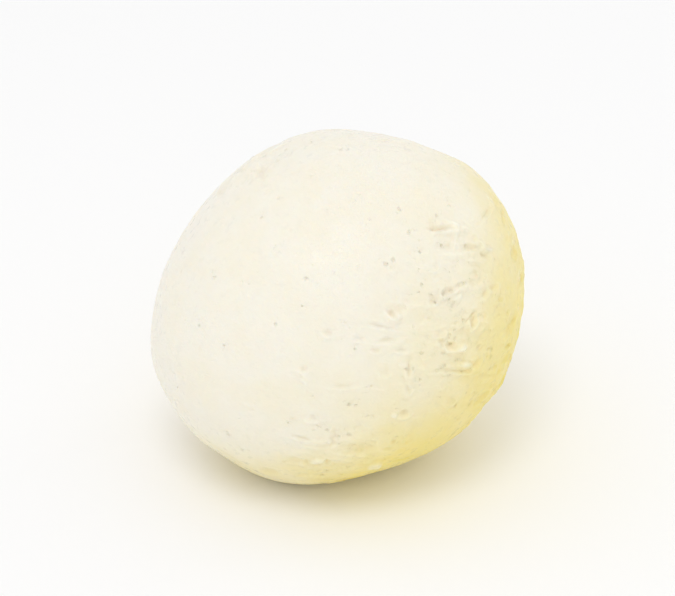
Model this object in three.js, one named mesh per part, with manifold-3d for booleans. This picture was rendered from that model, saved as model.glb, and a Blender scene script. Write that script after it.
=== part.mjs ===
// A sponge rasgulla: one ball of fresh curd cheese, kneaded, rolled between the palms and simmered until it
// swells into a soft sponge. It is a single solid piece. The ball is a little longer one way than
// the others, and lies with that long way leaning up to the right. Its own weight presses a small flat spot
// under it.
//
// Millimetres, +Z up. The front faces -Y. The origin is on the table, under the middle of the ball.
// Angles are in degrees. A place on the skin is given by its facing: the turn from the front towards the
// right, and the height above level.
import * as THREE from "three";
import { mergeVertices } from "three/addons/utils/BufferGeometryUtils.js";
import Module from "manifold-3d";

const LONG_ACROSS = 56;
const SHORT_ACROSS = 49.5;
const DEPTH_ACROSS = 51;
const LEAN = 34.5; // the long way above level, as seen from the front
const SIGHT = 30; // height above level of the line of sight that the lean and the outline are seen along

const SINK = 2.1; // how much the flat spot takes off the ball's height
const SHOULDER = 0.6; // height over which the side rounds into the flat spot, above and below its level

const SKIN_RINGS = 12; // rows of faces added along each edge of the 20-sided ball that the skin starts from
const BEAD_SIDES = 8; // faces round a pit or a crumb
const BEAD_ROWS = 4; // rows of faces from its deepest point through to its top

// Swells and hollows round the outline as seen: turn anticlockwise from the right, rise and reach.
const OUTLINE_SWELLS = [
  { turn: 100, rise: 0.55, reach: 22 },
  { turn: 70, rise: -0.95, reach: 18 },
  { turn: 36, rise: 0.3, reach: 20 },
  { turn: -38, rise: 0.6, reach: 28 },
  { turn: -80, rise: -0.65, reach: 18 },
  { turn: -107, rise: 0.5, reach: 16 },
  { turn: -128, rise: -0.4, reach: 14 },
  { turn: -168, rise: 0.4, reach: 18 },
  { turn: 148, rise: -0.55, reach: 26 },
];

// Soft unevenness that the palms leave all over.
const LUMP_COUNT = 70;
const LUMP_RISE = 0.25;
const LUMP_REACH = 14;

// Pits and tears that stand out on the front, as the sight line shows them: how far each is right and up of
// the ball's middle, its length and width, its depth in the skin, and the slant of its length from level.
const SEEN_PITS = [
  { right: 7.5, up: -1.1, length: 1.2, width: 1.1, depth: 0.9, slant: 0 },
  { right: -1.3, up: -3.5, length: 1.3, width: 0.9, depth: 0.5, slant: 0 },
  { right: 14.9, up: 2.2, length: 1.8, width: 1.1, depth: 0.8, slant: 30 },
  { right: 15.4, up: -5.3, length: 1.9, width: 1.1, depth: 0.6, slant: -15 },
  { right: 6.7, up: -4.6, length: 2.2, width: 0.8, depth: 0.5, slant: 0 },
  { right: 14.8, up: 8.5, length: 1.8, width: 1, depth: 0.5, slant: 0 },
  { right: 18.3, up: 8.4, length: 2.6, width: 1.1, depth: 0.5, slant: 0 },
  { right: 18.5, up: -1.7, length: 2.1, width: 0.8, depth: 0.5, slant: 90 },
  { right: 9, up: -14.9, length: 1.3, width: 1.1, depth: 0.6, slant: 0 },
  { right: -4.8, up: -8.4, length: 1, width: 0.7, depth: 0.4, slant: 0 },
  { right: 13.9, up: 10.9, length: 4, width: 0.8, depth: 0.4, slant: 0 },
  { right: 16, up: -8.9, length: 4.6, width: 0.7, depth: 0.4, slant: -3 },
  { right: 9.6, up: -8.5, length: 1.7, width: 0.7, depth: 0.4, slant: 90 },
  { right: 6, up: 24, length: 1.8, width: 0.6, depth: 0.4, slant: 0 },
];

// Patches where the crumb of the curd breaks through the skin.
const OPEN_PATCHES = [
  { turn: 44, height: 16, reach: 33, pits: 12, crumbs: 4 },
  { turn: 2, height: -27, reach: 24, pits: 8, crumbs: 2 },
  { turn: 68, height: -20, reach: 20, pits: 9, crumbs: 2 },
  { turn: 152, height: 14, reach: 30, pits: 18, crumbs: 3 },
  { turn: -128, height: -12, reach: 26, pits: 13, crumbs: 2 },
  { turn: -100, height: 62, reach: 16, pits: 6, crumbs: 1 },
];
const PIT_ACROSS = [0.8, 1.7];
const PIT_STRETCH = 1.5; // most that a pit is longer than it is wide
const PIT_DEPTH_SHARE = 0.5; // of its width
const CRUMB_ACROSS = [1, 1.7];
const CRUMB_DEPTH_SHARE = 0.34; // of its width that stands out of the skin, and as much is sunk in it
const CLEAR_OF_TABLE = 3; // no pit or crumb sits lower than this
const SEED = 4021;

const GOLDEN_ANGLE = Math.PI * (3 - Math.sqrt(5));
const UP = new THREE.Vector3(0, 0, 1);

const wasm = await Module();
wasm.setup();

// A repeatable run of numbers from 0 to 1, by the Park-Miller rule.
function chances(seed) {
  let state = seed;
  return () => {
    state = (state * 16807) % 2147483647;
    return state / 2147483647;
  };
}

function between([low, high], share) {
  return low + (high - low) * share;
}

// The direction that a facing stands for.
function facing(turn, height) {
  const [turned, raised] = [THREE.MathUtils.degToRad(turn), THREE.MathUtils.degToRad(height)];
  const level = Math.cos(raised);
  return new THREE.Vector3(Math.sin(turned) * level, -Math.cos(turned) * level, Math.sin(raised));
}

// The level line and the upward line that touch the skin where it faces a direction.
function touching(direction) {
  const level = new THREE.Vector3().crossVectors(UP, direction).normalize();
  return { level, rise: new THREE.Vector3().crossVectors(direction, level) };
}

// The direction that is off by an angle from another, towards a bearing anticlockwise from level, both in
// radians.
function offset(direction, angle, bearing) {
  const { level, rise } = touching(direction);
  return direction
    .clone()
    .multiplyScalar(Math.cos(angle))
    .addScaledVector(level, Math.cos(bearing) * Math.sin(angle))
    .addScaledVector(rise, Math.sin(bearing) * Math.sin(angle));
}

// The picture plane of the sight line: its right is +X, and its up leans back from the viewer.
const sightLine = facing(0, SIGHT);
const sightUp = facing(180, 90 - SIGHT);

function inPicture(turn) {
  const angle = THREE.MathUtils.degToRad(turn);
  return new THREE.Vector3(Math.cos(angle), 0, 0).addScaledVector(sightUp, Math.sin(angle));
}

// The three ways across the ball, each with half its measure.
const longWay = { way: inPicture(LEAN), half: LONG_ACROSS / 2 };
const shortWay = { way: inPicture(LEAN + 90), half: SHORT_ACROSS / 2 };
const sightWay = { way: sightLine, half: DEPTH_ACROSS / 2 };
const ways = [longWay, shortWay, sightWay];
const centreHeight = Math.hypot(...ways.map(({ way, half }) => way.z * half)) - SINK;

// The unevenness: the outline's swells, then the palms' lumps, spread evenly and shifted at random.
function swells() {
  const random = chances(SEED);
  const lumps = Array.from({ length: LUMP_COUNT }, (_, k) => {
    const height = 90 - THREE.MathUtils.radToDeg(Math.acos(1 - (2 * k + 1) / LUMP_COUNT));
    const turn = THREE.MathUtils.radToDeg(k * GOLDEN_ANGLE) + LUMP_REACH * (random() - 0.5);
    return { way: facing(turn, height), rise: LUMP_RISE * (2 * random() - 1), reach: LUMP_REACH };
  });
  const outline = OUTLINE_SWELLS.map(({ turn, rise, reach }) => ({ way: inPicture(turn), rise, reach }));
  return [...outline, ...lumps];
}
const unevenness = swells();

// The flat spot: what would lie below the table is pressed level with it, and a rounded shoulder joins it
// to the side.
function pressed(height) {
  if (height <= -SHOULDER) return 0;
  if (height >= SHOULDER) return height;
  return (height + SHOULDER) ** 2 / (4 * SHOULDER);
}

// The point of the skin in a direction from the ball's centre: an ellipsoid, with each swell fading over
// its reach.
function skinPoint(direction) {
  let radius = 1 / Math.hypot(...ways.map(({ way, half }) => direction.dot(way) / half));
  for (const { way, rise, reach } of unevenness) {
    radius += rise * Math.exp(-((THREE.MathUtils.radToDeg(direction.angleTo(way)) / reach) ** 2));
  }
  const point = direction.clone().multiplyScalar(radius);
  point.z = pressed(point.z + centreHeight);
  return point;
}

function solidOf(geometry) {
  geometry.deleteAttribute("normal");
  geometry.deleteAttribute("uv");
  const merged = mergeVertices(geometry);
  const { array } = merged.attributes.position;
  return new wasm.Manifold(
    new wasm.Mesh({ numProp: 3, vertProperties: array, triVerts: new Uint32Array(merged.index.array) })
  );
}

function meshOf(solid, material) {
  const { vertProperties, triVerts } = solid.getMesh();
  const geometry = new THREE.BufferGeometry();
  geometry.setAttribute("position", new THREE.BufferAttribute(vertProperties, 3));
  geometry.setIndex(new THREE.BufferAttribute(triVerts, 1));
  geometry.computeVertexNormals();
  return new THREE.Mesh(geometry, material);
}

// The ball itself, before its skin is broken.
function ball() {
  const geometry = new THREE.IcosahedronGeometry(1, SKIN_RINGS);
  const { position } = geometry.attributes;
  const corner = new THREE.Vector3();
  for (let i = 0; i < position.count; i += 1) {
    position.setXYZ(i, ...skinPoint(corner.fromBufferAttribute(position, i).normalize()));
  }
  return solidOf(geometry);
}

// A squashed bead half sunk in the skin. Cut out it leaves a pit, and joined on it is a crumb.
function bead({ direction, length, width, depth, slant }) {
  const along = offset(direction, Math.PI / 2, THREE.MathUtils.degToRad(slant));
  const across = new THREE.Vector3().crossVectors(along, direction);
  const placed = new THREE.Matrix4().makeBasis(
    along.multiplyScalar(length / 2),
    direction.clone().multiplyScalar(depth),
    across.multiplyScalar(width / 2)
  );
  placed.setPosition(skinPoint(direction));
  return solidOf(new THREE.SphereGeometry(1, BEAD_SIDES, BEAD_ROWS).applyMatrix4(placed));
}

// A bead given as the sight line shows it. Its place is carried along that line to the ellipsoid, and its
// length and width are drawn out as much as the skin turns away there.
function asSeen({ right, up, length, width, depth, slant }) {
  const place = inPicture(0).multiplyScalar(right).addScaledVector(sightUp, up);
  const out = Math.hypot(place.dot(longWay.way) / longWay.half, place.dot(shortWay.way) / shortWay.half);
  const direction = place.addScaledVector(sightLine, sightWay.half * Math.sqrt(1 - out ** 2)).normalize();
  const along = inPicture(slant);
  along.addScaledVector(sightLine, -along.dot(direction) / sightLine.dot(direction));
  const across = along.clone().cross(direction).normalize();
  const narrowed = Math.abs(across.dot(inPicture(slant + 90)));
  const { level, rise } = touching(direction);
  const bearing = Math.atan2(along.dot(rise), along.dot(level));
  return {
    direction,
    length: length * along.length(),
    width: width / narrowed,
    depth,
    slant: THREE.MathUtils.radToDeg(bearing),
  };
}

// Beads strewn over a patch: a spiral of golden angles, each place and size shifted at random.
function strewn({ turn, height, reach }, count, across, depthShare, random) {
  const middle = facing(turn, height);
  return Array.from({ length: count }, (_, k) => {
    const angle = THREE.MathUtils.degToRad(reach) * Math.sqrt((k + random()) / count);
    const direction = offset(middle, angle, k * GOLDEN_ANGLE + random());
    const width = between(across, random() ** 2);
    const length = width * between([1, PIT_STRETCH], random());
    return { direction, length, width, depth: width * depthShare, slant: 180 * random() };
  }).filter(({ direction }) => skinPoint(direction).z > CLEAR_OF_TABLE);
}

// The whole sweet: crumbs are joined on, then pits are cut, and a scrap that a cut sets free is dropped.
function rasgulla() {
  const random = chances(SEED + 1);
  const crumbs = OPEN_PATCHES.flatMap((patch) =>
    strewn(patch, patch.crumbs, CRUMB_ACROSS, CRUMB_DEPTH_SHARE, random)
  );
  const pits = OPEN_PATCHES.flatMap((patch) =>
    strewn(patch, patch.pits, PIT_ACROSS, PIT_DEPTH_SHARE, random)
  );
  let solid = ball();
  for (const crumb of crumbs) {
    solid = solid.add(bead(crumb));
  }
  for (const pit of [...SEEN_PITS.map(asSeen), ...pits]) {
    solid = solid.subtract(bead(pit));
  }
  const [whole] = solid.decompose().sort((a, b) => b.volume() - a.volume());
  return whole;
}

// Fresh curd, ivory white and moist without shining.
function curd() {
  return new THREE.MeshStandardMaterial({ color: 0xfbf5e3, roughness: 0.6, metalness: 0 });
}

const sweet = meshOf(rasgulla(), curd());
sweet.name = "rasgulla";
sweet.geometry.computeBoundingBox();
const middle = sweet.geometry.boundingBox.getCenter(new THREE.Vector3());
sweet.position.set(-middle.x, -middle.y, 0);

const group = new THREE.Group();
group.add(sweet);

export default group;
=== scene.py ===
import bpy
import numpy as np
from mathutils import Matrix


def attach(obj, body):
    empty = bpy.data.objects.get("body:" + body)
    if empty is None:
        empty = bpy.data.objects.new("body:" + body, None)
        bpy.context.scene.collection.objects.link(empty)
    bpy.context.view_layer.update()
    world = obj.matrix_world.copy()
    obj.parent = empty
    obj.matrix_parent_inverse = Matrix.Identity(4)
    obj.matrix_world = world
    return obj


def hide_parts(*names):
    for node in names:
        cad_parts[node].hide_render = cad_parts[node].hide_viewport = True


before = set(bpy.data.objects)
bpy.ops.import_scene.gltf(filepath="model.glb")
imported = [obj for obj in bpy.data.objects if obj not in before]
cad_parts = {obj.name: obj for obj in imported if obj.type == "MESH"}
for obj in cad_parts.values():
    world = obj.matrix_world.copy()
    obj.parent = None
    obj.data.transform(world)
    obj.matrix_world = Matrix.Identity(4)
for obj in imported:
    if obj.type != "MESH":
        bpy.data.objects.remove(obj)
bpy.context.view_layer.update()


# The ball. Fresh curd cheese is kneaded smooth, rolled between the palms and simmered until it swells into
# a soft sponge, a little longer one way than the others. Where its skin is thin, pits, creases with raised
# lips and a crumbly grain show, and its low side is the yellowest, partly soaked with syrup and partly
# painted warm glow of reflected light. Lengths are in mm up to the mesh.
MM = 0.001
LONG_ACROSS, SHORT_ACROSS, DEPTH_ACROSS = 56, 49.5, 51
LEAN = 34.5  # the long way above level, seen from the front
SIGHT = 30  # height above level of the line of sight that the lean and the outline are seen along
SINK = 2.1  # how much the flat spot takes off the height
SHOULDER = 0.6  # height over which the side rounds into the flat spot
SEED = 4021

# Swells and hollows round the outline: turn anticlockwise from the right, rise and reach.
OUTLINE_SWELLS = np.array([
    (100, 0.55, 22), (70, -0.95, 18), (36, 0.3, 20), (-38, 0.6, 28), (-80, -0.65, 18),
    (-107, 0.5, 16), (-128, -0.4, 14), (-168, 0.4, 18), (148, -0.55, 26),
])
# Lumps spread evenly all over: how many, the most that they rise or sink, and their reach.
LUMP_COUNT, LUMP_RISE, LUMP_REACH = 70, 0.25, 14
GOLDEN_TURN = 180 * (3 - 5 ** 0.5)  # degrees from each place of a spiral to the next

GRID_COUNT = 128  # squares along each edge of the six-sided ball


def unit(vectors):
    """Vectors drawn in to length one."""
    return vectors / np.linalg.norm(vectors, axis=-1, keepdims=True)


def facing(turn, height):
    """The direction turned from the front towards the right, and raised above level, both in degrees."""
    turned, raised = np.radians(turn), np.radians(height)
    level = np.cos(raised)
    return np.stack([np.sin(turned) * level, -np.cos(turned) * level, np.sin(raised) + 0 * turned], axis=-1)


def in_picture(turn):
    """The direction at a turn anticlockwise from the right, in the plane square to the line of sight."""
    angle = np.radians(turn)
    right, up = np.array([1.0, 0, 0]), facing(180, 90 - SIGHT)
    return np.multiply.outer(np.cos(angle), right) + np.multiply.outer(np.sin(angle), up)


FACTOR, WHOLE = 16807, 2147483647


def chances(seed, count):
    """Repeatable numbers from 0 to 1: each state is the factor times the last, less what fills the whole."""
    state, found = seed, []
    for _ in range(count):
        state = state * FACTOR % WHOLE
        found.append(state / WHOLE)
    return np.array(found)


def angle_between(directions, way):
    """The angle in degrees between unit vectors."""
    return np.degrees(np.arccos(np.clip(directions @ np.asarray(way).T, -1, 1)))


def six_sided_ball(count):
    """Directions and four-cornered faces of a ball of six square sides. The two coordinates on a side of a
    cube are the tangents of two angles from -45 to 45 degrees in equal steps, and each point is drawn in to
    length one. Points that two sides share are welded."""
    step = np.tan(np.linspace(-np.pi / 4, np.pi / 4, count + 1))
    first, second = np.meshgrid(step, step, indexing="ij")
    side = np.stack([first, second, np.ones_like(first)], axis=-1).reshape(-1, 3)
    corner = np.arange((count + 1) ** 2).reshape(count + 1, count + 1)
    squares = np.stack([corner[:-1, :-1], corner[1:, :-1], corner[1:, 1:], corner[:-1, 1:]], axis=-1)
    squares = squares.reshape(-1, 4)
    points, faces = [], []
    for order in ([0, 1, 2], [2, 0, 1], [1, 2, 0]):
        for sign, turned in ((1, squares), (-1, squares[:, ::-1])):
            faces.append(turned + len(side) * len(points))
            points.append(sign * side[:, order])
    points = unit(np.concatenate(points))
    _, kept, welded = np.unique(np.round(points, 6), axis=0, return_index=True, return_inverse=True)
    return points[kept], welded.ravel()[np.concatenate(faces)]


def drawn_towards(directions, way, share, reach):
    """Directions moved towards one way, so that the grid is finer there: the angle from it loses a share
    that falls off as a bell curve over the reach."""
    angle = angle_between(directions, way)
    aside = directions - np.outer(directions @ way, way)
    aside = aside / np.maximum(np.linalg.norm(aside, axis=1, keepdims=True), 1e-9)
    moved = np.radians(angle * (1 - share * np.exp(-((angle / reach) ** 2))))
    return unit(np.outer(np.cos(moved), way) + np.sin(moved)[:, None] * aside)


WAYS = np.stack([in_picture(LEAN), in_picture(LEAN + 90), facing(0, SIGHT)])
HALVES = np.array([LONG_ACROSS, SHORT_ACROSS, DEPTH_ACROSS]) / 2
CENTRE_HEIGHT = np.linalg.norm(WAYS[:, 2] * HALVES) - SINK

lump_draws = chances(SEED, 2 * LUMP_COUNT).reshape(-1, 2)
lump_order = np.arange(LUMP_COUNT)
lump_heights = 90 - np.degrees(np.arccos(1 - (2 * lump_order + 1) / LUMP_COUNT))
lump_turns = lump_order * GOLDEN_TURN + LUMP_REACH * (lump_draws[:, 0] - 0.5)
swell_ways = np.concatenate([in_picture(OUTLINE_SWELLS[:, 0]), facing(lump_turns, lump_heights)])
swell_rises = np.concatenate([OUTLINE_SWELLS[:, 1], LUMP_RISE * (2 * lump_draws[:, 1] - 1)])
swell_reaches = np.concatenate([OUTLINE_SWELLS[:, 2], np.full(LUMP_COUNT, float(LUMP_REACH))])


def skin(directions):
    """Points of the smooth skin: the ellipsoid's radius plus each swell's rise, which fades as a bell curve
    with the angle from it. What is lower than the shoulder is pressed flat, and the shoulder itself is a
    parabola."""
    radius = 1 / np.linalg.norm(directions @ WAYS.T / HALVES, axis=1)
    radius += np.exp(-((angle_between(directions, swell_ways) / swell_reaches) ** 2)) @ swell_rises
    points = directions * radius[:, None]
    points[:, 2] += CENTRE_HEIGHT
    height = np.clip(points[:, 2], -SHOULDER, SHOULDER)
    rounded = (height + SHOULDER) ** 2 / (4 * SHOULDER)
    points[:, 2] = np.where(points[:, 2] > SHOULDER, points[:, 2], rounded)
    return points


# Open patches are where the skin is thin: turn, height, reach, pits and crumbs of each.
OPEN_PATCHES = (
    (44, 16, 33, 12, 4), (2, -27, 24, 8, 2), (68, -20, 20, 9, 2),
    (152, 14, 30, 18, 3), (-128, -12, 26, 13, 2), (-100, 62, 16, 6, 1),
)
GRID_SHARES = (0.5, 0.3, 0.25, 0.25, 0.25, 0.2)  # how much each draws the grid in
GRID_REACH = 1.5  # how far that goes, in the patch's own reach
# The skin is a little thin in further patches too: turn, height, reach, and how open each is.
FAINT_PATCHES = ((97, 12, 34, 0.5), (112, -36, 34, 0.5), (-170, 34, 32, 0.4), (-160, -25, 32, 0.4))
THIN_PLACES = tuple((*patch[:3], 1) for patch in OPEN_PATCHES) + FAINT_PATCHES
THINNEST_TO, THIN_TO = 0.2, 1.3  # in a patch's reach, how far it is wholly thin and thin at all

# Marks that stand out on the front, as the sight line shows them: how far each is right and up of the
# ball's middle, its length and width, its depth or height, and the slant of its length from level.
SEEN_PITS = (
    (7.5, -1.1, 1.2, 1.1, 0.9, 0), (-1.3, -3.5, 1.3, 0.9, 0.5, 0), (14.9, 2.2, 1.8, 1.1, 0.6, 30),
    (15.4, -5.3, 1.9, 1.1, 0.6, -15), (6.7, -4.6, 2.2, 0.8, 0.5, 0), (14.8, 8.4, 1.9, 1.1, 0.45, 0),
    (18.3, 8.4, 2.6, 1.1, 0.5, 0), (18.5, -1.7, 2.1, 0.8, 0.5, 90), (9, -14.9, 1.3, 1.1, 0.6, 0),
    (-4.8, -8.4, 1, 0.7, 0.4, 0), (13.9, 10.9, 4, 0.8, 0.4, 0), (16, -8.9, 4.6, 0.7, 0.4, -3),
    (9.6, -8.5, 1.7, 0.7, 0.4, 90), (6, 24, 1.8, 0.6, 0.4, 0),
)
SEEN_DENTS = (
    (11.4, 7.8, 1.5, 1, 0.15, 0), (20.3, 7.2, 1.4, 0.7, 0.3, -25), (18.9, 5.7, 2.8, 0.7, 0.18, -3),
    (13.1, 1, 2, 0.8, 0.3, 40), (16.6, 2.8, 1.4, 0.7, 0.2, 0), (21.3, 2.6, 1.1, 0.9, 0.3, 0),
    (20.2, 1.7, 0.9, 0.7, 0.25, 60), (22.6, 1.2, 1, 0.7, 0.2, 45), (7.8, 1.4, 1.8, 0.8, 0.1, 90),
    (2.8, -4.4, 1.2, 0.8, 0.2, 0), (5.1, -6, 1.2, 0.6, 0.2, 0), (8.5, -6, 1.3, 0.6, 0.2, 0),
    (14.3, -4.8, 1.1, 1, 0.3, 0), (20.8, -9.7, 3.2, 0.8, 0.12, -5), (9.6, -11.4, 1.2, 0.7, 0.2, 90),
    (0.6, -10.8, 3, 0.6, 0.18, 0), (5, -11, 4, 0.6, 0.08, 0), (-0.7, -18.2, 2.6, 1, 0.25, 80),
    (-1.6, -19.3, 3, 0.6, 0.2, 0), (4.7, -18.6, 3, 1.2, 0.12, 80), (10.3, -17.3, 3.5, 1.4, 0.15, 75),
    (-4.5, -21.8, 1.4, 0.8, 0.3, 90), (-1.6, -21.6, 0.8, 0.8, 0.3, 0), (-9.7, -23.6, 2, 1, 0.3, 0),
    (-10.4, -10.8, 1, 1, 0.08, 0), (-12.2, -13.2, 2, 0.8, 0.1, 0), (13.2, 6.1, 1.6, 0.8, 0.12, 90),
    (13.8, 10.8, 3.9, 0.8, 0.35, 0), (9.6, -8.5, 1.6, 0.6, 0.2, 90), (18.6, -1.7, 2.2, 0.8, 0.15, 90),
    (18.8, 8.1, 2.2, 1.1, 0.15, 0),
)
SEEN_RIDGES = (
    (16.2, 10.2, 3.4, 0.8, 0.3, 90), (15.7, 7.1, 3.8, 0.9, 0.3, 0), (21, 8, 1.3, 0.8, 0.3, 0),
    (16.3, 1.3, 1.4, 1.1, 0.35, 20), (17, -5.8, 1.9, 1.1, 0.4, 20), (17.5, -8, 1.8, 0.8, 0.3, 0),
    (7.7, -14.9, 1, 1, 0.35, 0), (-3, -21.5, 2, 0.9, 0.4, 0), (5.1, -22.7, 2, 1, 0.35, 5),
    (-4.6, -9.9, 1.6, 0.9, 0.3, 90), (-4, -11.4, 1, 0.5, 0.15, -60), (6.7, -5.7, 2.4, 0.8, 0.2, 0),
    (-9, 5.7, 2, 0.8, 0.12, 90), (-12.5, 1.6, 1.8, 0.7, 0.12, 90), (3, -2.9, 1.1, 0.7, 0.15, 0),
    (-8.1, -6.6, 1.5, 0.6, 0.12, 0), (7.2, 4.8, 1, 0.9, 0.15, 0),
)
# Strewn pits and crumbs: ends of their widths, how much longer than wide they get, and depth for a width.
PIT_ACROSS, CRUMB_ACROSS, MOST_STRETCH = (0.8, 1.7), (1, 1.7), 1.5
PIT_DEPTH_SHARE, CRUMB_DEPTH_SHARE = 0.5, 0.34
STREWN_DENTS = (  # counts over the patches, ends of the lengths and widths, depth
    ((2, 3, 4, 12, 9, 3, 8, 6, 7, 7), (1.8, 5), (0.5, 0.8), 0.25),
    ((2, 3, 3, 8, 6, 3, 6, 5, 5, 5), (3, 6), (1.6, 2.8), 0.25),
)
DENT_SLANTS = (-18, 18)
STREWN_RISE = 0.18  # what the lips and crumbs that overlap can rise to
CLEAR_OF_TABLE = 3  # nothing is strewn lower than this
FLATTENED = np.array([1, 1, 1.35])  # the sponge settles, so that its pores are wider than high
PRESSED = np.array([1, 1, 2.2])  # and its wrinkles still more


def between(ends, share):
    """The value a share of the way from the first end to the second."""
    return ends[0] + (ends[1] - ends[0]) * share


def offset(way, angle, bearing):
    """The directions off by angles from one, towards bearings anticlockwise from level, all in radians."""
    level = unit(np.cross([0, 0, 1], way))
    rise = np.cross(way, level)
    aside = np.multiply.outer(np.cos(bearing), level) + np.multiply.outer(np.sin(bearing), rise)
    return np.multiply.outer(np.cos(angle), way) + np.sin(np.asarray(angle))[..., None] * aside


def spread_over(patch, count, draws):
    """Directions over a patch, on a spiral of golden angles, each place shifted by its first two draws."""
    turn, height, reach = patch[:3]
    order = np.arange(count)
    angle = np.radians(reach) * np.sqrt((order + draws[:, 0]) / count)
    return offset(facing(turn, height), angle, np.radians(order * GOLDEN_TURN) + draws[:, 1])


def strewn(patch, count, across, depth_share, draws):
    """Beads over a patch, sized by their last three draws: way, length, width, depth and slant of each."""
    ways = spread_over(patch, count, draws)
    width = between(across, draws[:, 2] ** 2)
    length = width * between((1, MOST_STRETCH), draws[:, 3])
    found = np.column_stack([ways, length, width, width * depth_share, 180 * draws[:, 4]])
    return found[skin(ways)[:, 2] > CLEAR_OF_TABLE]


def nearly_level(patch, count, lengths, widths, depth, draws):
    """Dents over a patch that run nearly level: way, length, width, depth and slant of each."""
    ways = spread_over(patch, count, draws)
    width = between(widths, draws[:, 2])
    length = between(lengths, draws[:, 3] ** 2)
    found = np.column_stack([ways, length, width, np.full(count, depth), between(DENT_SLANTS, draws[:, 4])])
    return found[skin(ways)[:, 2] > CLEAR_OF_TABLE]


def ripples(points, wavelength, random, count=28):
    """Soft unevenness with a mean of nought and a spread of one: the sum of plane waves of about one
    wavelength, in random directions and phases."""
    ways = unit(random.normal(size=(count, 3))) / (wavelength * random.uniform(0.75, 1.35, (count, 1)))
    phases = 2 * np.pi * (points @ ways.T + random.uniform(size=count))
    return np.sin(phases).sum(1) * np.sqrt(2 / count)


CUBES = 64  # along each way, after which they repeat


def nearest_seed(points, spacing, random):
    """Distance to the nearest of many points strewn through space, and a random number of that point's own.
    Space is cut into cubes with one point at a random place in each, and the 27 cubes round each place are
    searched."""
    cells = random.random((CUBES, CUBES, CUBES, 4))
    base = np.floor(points / spacing).astype(int)
    best = np.full(len(points), np.inf)
    own = np.zeros(len(points))
    for step in np.ndindex(3, 3, 3):
        cell = base + step - 1
        drawn = cells[tuple((cell % CUBES).T)]
        distance = np.linalg.norm((cell + drawn[:, :3]) * spacing - points, axis=1)
        nearer = distance < best
        best[nearer] = distance[nearer]
        own[nearer] = drawn[nearer, 3]
    return best, own


def eased(value, low, high):
    """0 up to the low end, 1 from the high end, and an S-shaped rise between them."""
    share = np.clip((value - low) / (high - low), 0, 1)
    return share * share * (3 - 2 * share)


def pores(points, spacing, radii, share, random):
    """Round hollows about seeds strewn through space, a share of which are open: how deep each place lies in
    one, as a parabola from 0 at the rim to 1 at the bottom, and the hollow's radius."""
    gap, own = nearest_seed(points * FLATTENED, spacing, random)
    radius = between(radii, np.clip(own / share, 0, 1) ** 1.5)
    return np.clip(1 - (gap / radius) ** 2, 0, 1) * (own < share), radius


random = np.random.default_rng(SEED)
directions, ball_faces = six_sided_ball(GRID_COUNT)
for (turn, height, reach, _, _), share in zip(OPEN_PATCHES, GRID_SHARES):
    directions = drawn_towards(directions, facing(turn, height), share, GRID_REACH * reach)
smooth = skin(directions)
outward = unit(directions @ WAYS.T / HALVES ** 2 @ WAYS)
middle = (smooth.min(0) + smooth.max(0)) / 2

openness = np.zeros(len(directions))
for turn, height, reach, share in THIN_PLACES:
    angle = angle_between(directions, facing(turn, height))
    openness = np.maximum(openness, share * (1 - eased(angle, THINNEST_TO * reach, THIN_TO * reach)))

# The places are stirred a little, so that no mark is a true oval: how far, and in swirls of what size.
stirred = smooth
for distance, wavelength in ((0.09, 2.4), (0.05, 1.1)):
    stirred = stirred + distance * np.stack([ripples(smooth, wavelength, random) for _ in range(3)], axis=1)

# The skin is broken and the curd bare in places about this far apart, where it holds least.
BARE_APART, SKIN_HOLD, THINNED = 3.6, 1.6, 1.7
held = ripples(stirred * FLATTENED, BARE_APART, random) + SKIN_HOLD - THINNED * openness
bare = 1 - eased(held, -0.3, 0.3)

relief = np.zeros(len(directions))
hollow = np.zeros(len(directions))
proud = np.zeros(len(directions))
MARK_REACH = 16  # degrees round a mark that it can change
BOTTOM_TO, RIM_TO = 0.3, 1.3  # in half-widths, where a bowl's bottom ends and where its rim runs out
LIP_OUT = 0.28  # how far past the rim a lip stands, and how wide it is
LIP_FROM, LIP_FULL = -0.1, 0.5  # in widths below the middle, where a lip starts and where it is whole
TOLD_BY_DEPTH = 1.6  # how strongly the colours tell a mark's depth: painted shade in hollows, and paleness on crumbs that is partly painted highlight


def dented(beads, share, lip):
    """Sinks beads into the relief by a share of their depth. Each is an oval bowl whose depth eases out
    between its bottom and its rim, and has a lip below it, a bell curve just past the rim. A depth below
    nought makes a crumb."""
    for bead in beads:
        way, (length, width, depth, slant) = bead[:3], bead[3:]
        along = offset(way, np.pi / 2, np.radians(slant))
        near = directions @ way > np.cos(np.radians(MARK_REACH))
        aside = stirred[near] - skin(way[None])
        above = aside @ np.cross(way, along)
        reach = np.hypot(aside @ along * 2 / length, above * 2 / width)
        bowl = 1 - eased(reach, BOTTOM_TO, RIM_TO)
        past_rim = (reach - 1) * width / 2
        below = eased(-aside[:, 2] / width, LIP_FROM, LIP_FULL)
        raised = np.exp(-((past_rim - LIP_OUT) / LIP_OUT) ** 2) * below
        relief[near] += depth * (lip * raised - share * bowl)
        # The depth goes into painted shade for hollows, and into paleness for crumbs, partly painted
        # highlight.
        told = hollow if depth > 0 else proud
        told[near] = np.maximum(told[near], bowl * min(1, TOLD_BY_DEPTH * share * abs(depth)))


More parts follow.
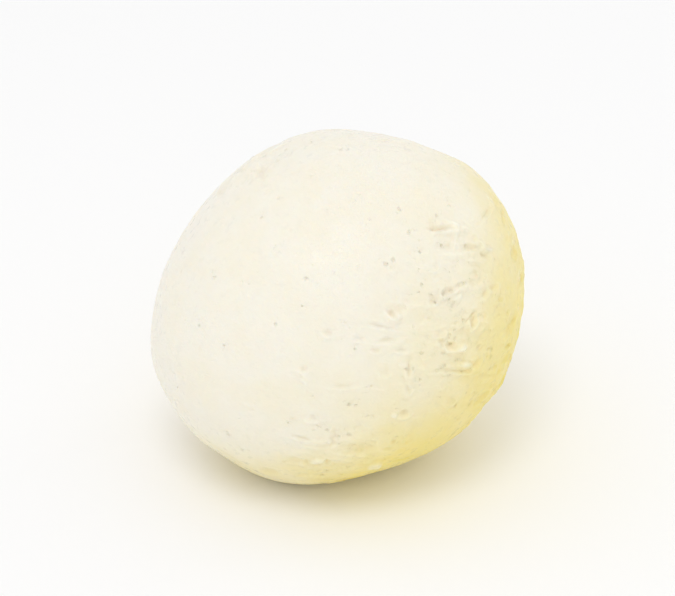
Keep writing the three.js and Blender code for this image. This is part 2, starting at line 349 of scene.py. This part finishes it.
def as_seen(marks):
    """Marks as rows of way, length, width, depth and slant. Each place is carried along the sight line to
    the ellipsoid, and the length and width are drawn out as much as the skin turns away there."""
    right, up, length, width, depth, slant = np.array(marks, float).T
    sight = facing(0, SIGHT)
    place = np.outer(right, in_picture(0)) + np.outer(up, in_picture(90))
    out = np.linalg.norm(place @ WAYS[:2].T / HALVES[:2], axis=1)
    ways = unit(place + np.outer(HALVES[2] * np.sqrt(1 - out ** 2), sight))
    along = in_picture(slant)
    along = along - np.outer((along * ways).sum(1) / (ways @ sight), sight)
    across = unit(np.cross(along, ways))
    narrowed = np.abs((across * in_picture(slant + 90)).sum(1))
    level = unit(np.cross([0, 0, 1], ways))
    rise = np.cross(ways, level)
    bearing = np.degrees(np.arctan2((along * rise).sum(1), (along * level).sum(1)))
    return np.column_stack([ways, length * np.linalg.norm(along, axis=1), width / narrowed, depth, bearing])


# The strewn marks first, and over them the marks that stand out on the front.
draws = chances(SEED + 1, 5 * sum(pits + crumbs for *_, pits, crumbs in OPEN_PATCHES)).reshape(-1, 5)
taken = 0
for patch in OPEN_PATCHES:
    crumbs = strewn(patch, patch[4], CRUMB_ACROSS, CRUMB_DEPTH_SHARE, draws[taken:taken + patch[4]])
    crumbs[:, 5] *= -1
    dented(crumbs, share=0.25, lip=0)
    taken += patch[4]
for patch in OPEN_PATCHES:
    pits = strewn(patch, patch[3], PIT_ACROSS, PIT_DEPTH_SHARE, draws[taken:taken + patch[3]])
    dented(pits, share=0.25, lip=0.3)
    taken += patch[3]
dent_draws = chances(SEED + 5, 5 * sum(sum(counts) for counts, *_ in STREWN_DENTS)).reshape(-1, 5)
taken = 0
for counts, lengths, widths, depth in STREWN_DENTS:
    for patch, count in zip(OPEN_PATCHES + FAINT_PATCHES, counts):
        dents = nearly_level(patch, count, lengths, widths, depth, dent_draws[taken:taken + count])
        dented(dents, share=0.9, lip=0.6)
        taken += count
relief = np.where(relief > 0, STREWN_RISE * np.tanh(relief / STREWN_RISE), relief)
dented(as_seen(SEEN_PITS), share=0.5, lip=0.6)
dented(as_seen(SEEN_DENTS), share=0.9, lip=0.6)
ridges = as_seen(SEEN_RIDGES)
ridges[:, 5] *= -1
dented(ridges, share=1.05, lip=0)

# Pores of two sizes, more of them where the skin is thin: their spacing, the ends of their radii, the share
# that is open, and the depth for a radius.
PORE_TOLD = 0.7
for spacing, radii, share, depth in (
    (2.4, (0.35, 0.75), 0.01 + 0.11 * openness, 0.35),
    (1.25, (0.2, 0.45), 0.015 + 0.25 * openness, 0.3),
):
    bowl, radius = pores(stirred, spacing, radii, share, random)
    relief -= depth * bowl * radius
    # Larger pores are marked for painted shade in the colour.
    hollow = np.maximum(hollow, PORE_TOLD * bowl * eased(radius, 0.1, 0.9))

# Wrinkles where the skin is thin: rise and wavelength of each.
WRINKLES = ((0.08, 5.5), (0.035, 2))
relief += openness * sum(rise * ripples(stirred * PRESSED, length, random) for rise, length in WRINKLES)

# Grains of curd, each a low dome, stand out most where it is bare, and the bare curd lies a little deeper.
GRAIN_APART, DOME = 0.95, 0.4
GRAIN_UNDER_SKIN, GRAIN_BARE, BARE_DEPTH = 0.01, 0.06, 0.05
grain_gap, _ = nearest_seed(stirred, GRAIN_APART, random)
relief += (GRAIN_UNDER_SKIN + GRAIN_BARE * bare) * (DOME - grain_gap ** 2) - BARE_DEPTH * bare

# What rolling leaves all over, as rise and wavelength, and fine bumps, higher where the curd is bare.
ROLLED = ((0.06, 10), (0.015, 3.5))
FINE_RISE, FINE_RISE_BARE, FINE_LENGTH = 0.006, 0.014, 1.1
relief += sum(rise * ripples(smooth, length, random) for rise, length in ROLLED)
relief += (FINE_RISE + FINE_RISE_BARE * bare) * ripples(smooth, FINE_LENGTH, random)

# How yellow each place is, partly soaked with syrup and partly painted warm glow of reflected light: most on
# the low side, at the right and a little to the back, with two places of more painted glow, at the right rim
# and the lowest rim: turn, height, how much and reach. Hollows are yellower too, and what stands proud less.
LOW_SIDE = facing(115, -48)
PAINTED_RIM_GLOW = ((96, 22, 0.27, 36), (24, -44, 0.4, 16))
PALEST_AT, YELLOWEST_AT = -0.95, 0.8
HOLLOW_YELLOWER, PROUD_LESS_YELLOW = 0.05, 0.25
YELLOW_UNEVENLY = ((0.05, 14), (0.025, 5))
uneven = sum(rise * ripples(smooth, length, random) for rise, length in YELLOW_UNEVENLY)
uneven += HOLLOW_YELLOWER * hollow
for turn, height, rise, reach in PAINTED_RIM_GLOW:
    uneven += rise * np.exp(-((angle_between(directions, facing(turn, height)) / reach) ** 2))
soak_and_glow = eased(outward @ LOW_SIDE + uneven, PALEST_AT, YELLOWEST_AT) ** 2 * (1 - PROUD_LESS_YELLOW * proud)

FLAT_TO, ROUGH_FROM = 0.2, 4  # heights between which the relief comes in, above the flat spot
relief *= eased(smooth[:, 2], FLAT_TO, ROUGH_FROM)
surface = smooth + outward * relief[:, None] - middle * [1, 1, 0]
surface[:, 2] = np.maximum(surface[:, 2], 0)

ball_mesh = bpy.data.meshes.new("rasgulla_ball")
ball_mesh.from_pydata((surface * MM).tolist(), [], ball_faces.tolist())
ball_mesh.polygons.foreach_set("use_smooth", np.ones(len(ball_faces), bool))
for name, values in (("bare", bare), ("hollow", hollow), ("proud", proud), ("soak_and_glow", soak_and_glow)):
    ball_mesh.attributes.new(name, "FLOAT", "POINT").data.foreach_set("value", values.astype(np.float32))
ball_mesh.update()
ball = bpy.data.objects.new("rasgulla_ball", ball_mesh)
bpy.context.scene.collection.objects.link(ball)

# The curd is an ivory, slightly translucent sponge. It is yellow where it is soaked, with painted warm glow
# of reflected light at its low side and right rim, darker in its hollows and pores with painted shade, paler
# where it stands proud, partly its own whiter crumbs and partly painted highlight, and wet in spots.
IVORY, CREAM, SOAK_AND_PAINTED_GLOW = (0.96, 0.895, 0.785), (0.953, 0.882, 0.75), (0.92, 0.77, 0.26)
# Painted shade for hollows and pores, with a little syrup yellow; paleness for what stands proud, partly
# painted highlight.
SHADE_AND_SYRUP_IN_HOLLOWS, PALE_CRUMB_AND_HIGHLIGHT = (0.83, 0.81, 0.7), (0.985, 0.925, 0.75)

curd = bpy.data.materials.new("curd")
curd.use_nodes = True
nodes, links = curd.node_tree.nodes, curd.node_tree.links
shader = nodes["Principled BSDF"]
shader.inputs["IOR"].default_value = 1.4
shader.inputs["Subsurface Weight"].default_value = 0.6
shader.inputs["Subsurface Radius"].default_value = (1.0, 0.88, 0.7)
shader.inputs["Subsurface Scale"].default_value = 0.0008
shader.inputs["Coat Roughness"].default_value = 0.18


def added(tree, kind, **settings):
    """A new node of a kind, with its own settings made."""
    node = tree.nodes.new(kind)
    for name, value in settings.items():
        setattr(node, name, value)
    return node


def ramp(tree, value, ends, to=(0, 1)):
    """A value spread from one pair of ends to another, with an S-shaped rise."""
    node = added(tree, "ShaderNodeMapRange", interpolation_type="SMOOTHSTEP")
    tree.links.new(value, node.inputs["Value"])
    for name, number in zip(("From Min", "From Max", "To Min", "To Max"), (*ends, *to)):
        node.inputs[name].default_value = number
    return node.outputs["Result"]


def blended(tree, share, first, second, kind="MIX"):
    """Two colours mixed by a share. The share is a socket, and each colour is one or three numbers."""
    node = added(tree, "ShaderNodeMix", data_type="RGBA", blend_type=kind)
    for socket, given in ((node.inputs[0], share), (node.inputs[6], first), (node.inputs[7], second)):
        if isinstance(given, tuple):
            socket.default_value = (*given, 1)
        else:
            tree.links.new(given, socket)
    return node.outputs[2]


def sponge_pores():
    """A node group: fine pores of the curd. Its height is 1 on the skin and falls by the depth in each pore,
    a round dip about the seed of a cell, whose size is the cell's own random share of the largest."""
    group = bpy.data.node_groups.new("sponge_pores", "ShaderNodeTree")
    group.interface.new_socket("Vector", in_out="INPUT", socket_type="NodeSocketVector")
    for name in ("Cells", "Largest", "Depth"):
        group.interface.new_socket(name, in_out="INPUT", socket_type="NodeSocketFloat")
    group.interface.new_socket("Height", in_out="OUTPUT", socket_type="NodeSocketFloat")
    into, out = added(group, "NodeGroupInput"), added(group, "NodeGroupOutput")
    cells = added(group, "ShaderNodeTexVoronoi")
    own = added(group, "ShaderNodeSeparateColor")
    radius = added(group, "ShaderNodeMath", operation="MULTIPLY")
    bottom = added(group, "ShaderNodeMath", operation="SUBTRACT")
    bottom.inputs[0].default_value = 1
    dip = added(group, "ShaderNodeMapRange", interpolation_type="SMOOTHSTEP")
    for start, end in (
        (into.outputs["Vector"], cells.inputs["Vector"]), (into.outputs["Cells"], cells.inputs["Scale"]),
        (cells.outputs["Color"], own.inputs["Color"]), (own.outputs["Red"], radius.inputs[0]),
        (into.outputs["Largest"], radius.inputs[1]), (into.outputs["Depth"], bottom.inputs[1]),
        (cells.outputs["Distance"], dip.inputs["Value"]), (radius.outputs["Value"], dip.inputs["From Max"]),
        (bottom.outputs["Value"], dip.inputs["To Min"]), (dip.outputs["Result"], out.inputs["Height"]),
    ):
        group.links.new(start, end)
    return group


def noise(tree, where, scale, detail=2, roughness=0.55):
    """Soft noise over a place."""
    node = added(tree, "ShaderNodeTexNoise")
    tree.links.new(where, node.inputs["Vector"])
    for name, number in (("Scale", scale), ("Detail", detail), ("Roughness", roughness)):
        node.inputs[name].default_value = number
    return node.outputs["Fac"]


def bumped(tree, height, distance, strength, under=None):
    """A bump laid over another."""
    node = added(tree, "ShaderNodeBump")
    node.inputs["Distance"].default_value = distance
    node.inputs["Strength"].default_value = strength
    tree.links.new(height, node.inputs["Height"])
    if under is not None:
        tree.links.new(under, node.inputs["Normal"])
    return node.outputs["Normal"]


tree = curd.node_tree
where = added(tree, "ShaderNodeTexCoord").outputs["Object"]
bare_read, hollow_read, proud_read, soak_and_glow_read = (
    added(tree, "ShaderNodeAttribute", attribute_name=name).outputs["Fac"]
    for name in ("bare", "hollow", "proud", "soak_and_glow")
)

# The fine pores' places are shaken by a noise, so that none is a true circle.
shaken = added(tree, "ShaderNodeVectorMath", operation="MULTIPLY_ADD")
shift = added(tree, "ShaderNodeTexNoise")
shift.inputs["Scale"].default_value = 1400
links.new(where, shift.inputs["Vector"])
links.new(shift.outputs["Color"], shaken.inputs[0])
shaken.inputs[1].default_value = (0.0005, 0.0005, 0.0003)
links.new(where, shaken.inputs[2])

# A fine roughness, and over it fine pores of two sizes, which are deepest where the curd is bare.
pore_tree = sponge_pores()
roughness = noise(tree, where, scale=1500, detail=5, roughness=0.7)
normal = bumped(tree, roughness, distance=0.0002, strength=0.7)
amount = ramp(tree, bare_read, (0, 1), (0.15, 1))
fine_heights = []
for cells, largest, distance, strength in ((1000, 0.5, 0.0003, 0.8), (2100, 0.55, 0.00012, 0.7)):
    fine = added(tree, "ShaderNodeGroup", node_tree=pore_tree)
    fine.inputs["Cells"].default_value = cells
    fine.inputs["Largest"].default_value = largest
    links.new(shaken.outputs["Vector"], fine.inputs["Vector"])
    links.new(amount, fine.inputs["Depth"])
    fine_heights.append(fine.outputs["Height"])
    normal = bumped(tree, fine.outputs["Height"], distance, strength, normal)
links.new(normal, shader.inputs["Normal"])

mottle = ramp(tree, noise(tree, where, scale=140, detail=3), (0.38, 0.66))
base = blended(tree, mottle, IVORY, CREAM)
# Yellow: partly syrup soak, partly painted warm glow of reflected light at the low side and right rim.
base = blended(tree, soak_and_glow_read, base, SOAK_AND_PAINTED_GLOW)
# Painted shade in hollows, with a little syrup yellow.
base = blended(tree, ramp(tree, hollow_read, (0, 1), (0, 0.5)), base, SHADE_AND_SYRUP_IN_HOLLOWS, "MULTIPLY")
# Painted shade in the fine pores.
base = blended(tree, ramp(tree, fine_heights[0], (0, 1), (0.25, 0)), base, SHADE_AND_SYRUP_IN_HOLLOWS, "MULTIPLY")
# Paler where crumbs and ridges stand proud: partly the curd's whiter crumbs, partly painted highlight.
base = blended(tree, ramp(tree, proud_read, (0, 0.6), (0, 0.4)), base, PALE_CRUMB_AND_HIGHLIGHT)
links.new(base, shader.inputs["Base Color"])
links.new(ramp(tree, mottle, (0, 1), (0.42, 0.56)), shader.inputs["Roughness"])
wet = ramp(tree, noise(tree, where, scale=700), (0.55, 0.72), (0.08, 0.6))
links.new(wet, shader.inputs["Coat Weight"])

ball_mesh.materials.append(curd)
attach(ball, "root")
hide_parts("rasgulla")


# The floor. A wide matte white floor, which takes the ball's shadow and throws a little light back up at
# its low side. It is stage and no part of the object.
FLOOR_HALF = 3.0
floor_mesh = bpy.data.meshes.new("floor")
corners = [(x * FLOOR_HALF, y * FLOOR_HALF, 0) for x, y in ((-1, -1), (1, -1), (1, 1), (-1, 1))]
floor_mesh.from_pydata(corners, [], [(0, 1, 2, 3)])
floor = bpy.data.objects.new("floor", floor_mesh)
bpy.context.scene.collection.objects.link(floor)
pale = bpy.data.materials.new("pale_floor")
pale.use_nodes = True
pale.node_tree.nodes["Principled BSDF"].inputs["Base Color"].default_value = (0.96, 0.96, 0.96, 1)
pale.node_tree.nodes["Principled BSDF"].inputs["Roughness"].default_value = 0.8
floor_mesh.materials.append(pale)


# The light. A white sky all round, one large soft light high in front, a little to the left, and a weaker
# one low behind the right, both aimed at the middle of the ball.
world = bpy.data.worlds.new("studio")
world.use_nodes = True
world.node_tree.nodes["Background"].inputs["Color"].default_value = (1, 1, 1, 1)
world.node_tree.nodes["Background"].inputs["Strength"].default_value = 0.87
scene = bpy.context.scene
scene.world = world
scene.view_settings.view_transform = "Standard"


def aimed(obj, place, target):
    """Puts an object at a place and turns its back axis away from the target."""
    obj.location = place
    back = unit(np.subtract(place, target))
    side = unit(np.cross([0, 0, 1], back))
    up = np.cross(back, side)
    obj.rotation_mode = "QUATERNION"
    obj.rotation_quaternion = Matrix(np.column_stack([side, up, back]).tolist()).to_quaternion()


target = np.array([0, 0, 0.025])
for name, size, energy, place in (
    ("key", 0.4, 1.5, (-0.1, -0.4, 0.85)),
    ("rim", 0.3, 0.22, (0.6, 0.35, 0.3)),
):
    light = bpy.data.lights.new(name, "AREA")
    light.shape = "DISK"
    light.size = size
    light.energy = energy
    light_object = bpy.data.objects.new(name, light)
    scene.collection.objects.link(light_object)
    aimed(light_object, place, target)


# The camera. It looks down the sight line at the middle of the ball, through a long lens, from as far off
# as lets the ball fill its share of the picture's height.
LENS, SENSOR = 150, 36
FRAME_ASPECT = 596 / 675  # the picture's height over its width
BALL_TALL, BALL_SHARE = 0.052, 0.6
visible_height = BALL_TALL / BALL_SHARE
distance = visible_height / 2 / (SENSOR / 2 / LENS * FRAME_ASPECT)
camera = bpy.data.cameras.new("camera")
camera.lens = LENS
camera.sensor_width = SENSOR
camera.sensor_fit = "HORIZONTAL"
camera_object = bpy.data.objects.new("camera", camera)
scene.collection.objects.link(camera_object)
aimed(camera_object, target + distance * facing(0, SIGHT), target)
scene.camera = camera_object
